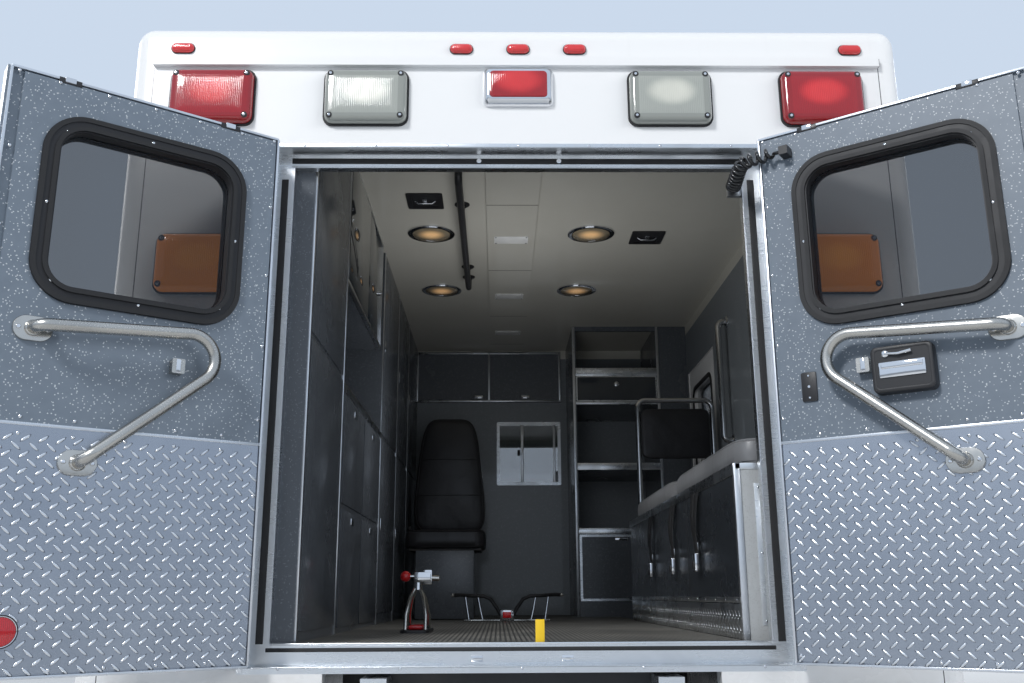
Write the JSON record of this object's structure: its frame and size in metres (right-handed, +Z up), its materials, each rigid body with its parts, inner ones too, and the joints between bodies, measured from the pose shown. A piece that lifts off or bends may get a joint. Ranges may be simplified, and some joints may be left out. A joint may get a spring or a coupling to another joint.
{
  "type": "box-type ambulance",
  "caption": "Ambulance on a van chassis with a square patient module, its two rear doors standing open on the fitted-out interior",
  "frame": {"origin": "on the ground, in the middle of the whole vehicle's bounding box, with both rear doors open", "axes": "+X to the vehicle's right-hand side, +Y forward, +Z up"},
  "size_m": [2.711, 6.9796, 2.7],
  "materials": {
    "frame_black": "satin black chassis paint",
    "engine_iron": "cast iron and dull steel pipe",
    "body_white": "gloss white coachwork paint",
    "door_leaf": "white edge, speckled skin above and bright tread plate below",
    "bright_aluminium": "bright aluminium extrusion and tread plate",
    "chrome": "bright chrome",
    "stainless": "polished stainless steel",
    "clear_glass": "clear glass",
    "tinted_glass": "tinted glass in black rubber",
    "red_lens": "fluted red lens in a black base",
    "amber_lens": "fluted amber lens in a black base",
    "clear_lens": "fluted clear lens",
    "cabinet": "grey laminate with aluminium edges",
    "floor_vinyl": "ribbed grey floor covering",
    "upholstery": "dark vinyl",
    "dash_plastic": "black grained plastic",
    "tyre": "black rubber",
    "wheel_steel": "bright steel wheel"
  },
  "bodies": {
    "vehicle": {"chassis_frame": "frame_black", "front_axle": "frame_black", "rear_axle": "frame_black", "engine_and_exhaust": "engine_iron", "front_bumper": "chrome", "rear_step_bumper": "bright_aluminium", "cab_shell": "body_white", "windscreen": "clear_glass", "front_grille": "chrome", "dashboard": "dash_plastic", "cab_seats": "upholstery", "module_left_wall": "body_white", "module_right_wall": "body_white", "module_roof": "body_white", "module_front_wall": "body_white", "module_rear_wall": "body_white", "module_floor": "floor_vinyl", "rear_door_frame": "bright_aluminium", "left_cabinets": "cabinet", "front_cabinets": "cabinet", "squad_bench": "cabinet", "bench_cushion": "upholstery", "grab_rails": "stainless", "attendant_seat": "upholstery", "cot_mount": "stainless", "dome_lamps": "clear_lens", "red_lamps": "red_lens", "amber_lamps": "amber_lens", "clear_lamps": "clear_lens", "steps_and_trim": "bright_aluminium", "door_lead": "dash_plastic"},
    "knuckle_left": {"knuckle_left": "frame_black"},
    "knuckle_right": {"knuckle_right": "frame_black"},
    "front_wheel_left": {"front_tyre_left": "tyre", "front_rim_left": "wheel_steel"},
    "front_wheel_right": {"front_tyre_right": "tyre", "front_rim_right": "wheel_steel"},
    "rear_wheels_left": {"rear_tyres_left": "tyre", "rear_rims_left": "wheel_steel"},
    "rear_wheels_right": {"rear_tyres_right": "tyre", "rear_rims_right": "wheel_steel"},
    "steering_wheel": {"steering_wheel": "dash_plastic"},
    "hood": {"hood": "body_white"},
    "cab_door_left": {"cab_door_left": "body_white", "cab_door_glass_left": "clear_glass"},
    "cab_door_right": {"cab_door_right": "body_white", "cab_door_glass_right": "clear_glass"},
    "side_door": {"side_door": "body_white", "side_door_glass": "clear_glass"},
    "rear_door_left": {"rear_door_left": "door_leaf", "rear_door_glass_left": "tinted_glass", "rear_door_fittings_left": "stainless"},
    "rear_door_right": {"rear_door_right": "door_leaf", "rear_door_glass_right": "tinted_glass", "rear_door_fittings_right": "stainless"},
    "left_rear_hatch": {"left_rear_hatch": "body_white"},
    "left_front_hatch": {"left_front_hatch": "body_white"},
    "right_rear_hatch": {"right_rear_hatch": "body_white"}
  },
  "joints": [
    {"name": "steer_left", "type": "hinge", "parent": "vehicle", "child": "knuckle_left", "pos_m": [-0.79, 2.68977, 0.372], "axis": [0, 0, 1], "range_deg": [-32, 32]},
    {"name": "steer_right", "type": "hinge", "parent": "vehicle", "child": "knuckle_right", "pos_m": [0.79, 2.68977, 0.372], "axis": [0, 0, 1], "range_deg": [-32, 32]},
    {"name": "steering_wheel_turn", "type": "hinge", "parent": "vehicle", "child": "steering_wheel", "pos_m": [-0.43, 1.92977, 1.24], "axis": [0, -0.8829, 0.4695], "range_deg": [-480, 480]},
    {"name": "front_wheel_left_spin", "type": "hinge", "parent": "knuckle_left", "child": "front_wheel_left", "pos_m": [-0.875, 2.68977, 0.372], "axis": [-1, 0, 0], "continuous": true},
    {"name": "front_wheel_right_spin", "type": "hinge", "parent": "knuckle_right", "child": "front_wheel_right", "pos_m": [0.875, 2.68977, 0.372], "axis": [-1, 0, 0], "continuous": true},
    {"name": "rear_wheels_left_spin", "type": "hinge", "parent": "vehicle", "child": "rear_wheels_left", "pos_m": [-1.0685, -1.32323, 0.372], "axis": [-1, 0, 0], "continuous": true},
    {"name": "rear_wheels_right_spin", "type": "hinge", "parent": "vehicle", "child": "rear_wheels_right", "pos_m": [1.0685, -1.32323, 0.372], "axis": [-1, 0, 0], "continuous": true},
    {"name": "hood_open", "type": "hinge", "parent": "vehicle", "child": "hood", "pos_m": [0, 2.61077, 1.279], "axis": [1, 0, 0], "range_deg": [0, 50]},
    {"name": "cab_door_left_open", "type": "hinge", "parent": "vehicle", "child": "cab_door_left", "pos_m": [-1.006, 2.20977, 1.27], "axis": [0, 0, -1], "range_deg": [0, 66]},
    {"name": "cab_door_right_open", "type": "hinge", "parent": "vehicle", "child": "cab_door_right", "pos_m": [1.006, 2.20977, 1.27], "axis": [0, 0, 1], "range_deg": [0, 66]},
    {"name": "side_door_open", "type": "hinge", "parent": "vehicle", "child": "side_door", "pos_m": [1.226, 0.36177, 1.4], "axis": [0, 0, 1], "range_deg": [0, 92]},
    {"name": "rear_door_left_swing", "type": "hinge", "parent": "vehicle", "child": "rear_door_left", "pos_m": [-0.755, -3.00223, 1.5], "axis": [0, 0, -1], "range_deg": [-144, 0]},
    {"name": "rear_door_right_swing", "type": "hinge", "parent": "vehicle", "child": "rear_door_right", "pos_m": [0.755, -3.00223, 1.5], "axis": [0, 0, 1], "range_deg": [-144, 0], "deforming": ["door_lead"]},
    {"name": "left_rear_hatch_open", "type": "hinge", "parent": "vehicle", "child": "left_rear_hatch", "pos_m": [-1.226, -1.90823, 1], "axis": [0, 0, -1], "range_deg": [0, 92]},
    {"name": "left_front_hatch_open", "type": "hinge", "parent": "vehicle", "child": "left_front_hatch", "pos_m": [-1.226, 1.00177, 1.31], "axis": [0, 0, -1], "range_deg": [0, 92]},
    {"name": "right_rear_hatch_open", "type": "hinge", "parent": "vehicle", "child": "right_rear_hatch", "pos_m": [1.226, -1.90823, 0.885], "axis": [0, 0, 1], "range_deg": [0, 92]}
  ],
  "couplings": [
    {"joint": "steer_right", "follows": "steer_left", "ratio": 1},
    {"joint": "steering_wheel_turn", "follows": "steer_left", "ratio": 15}
  ]
}
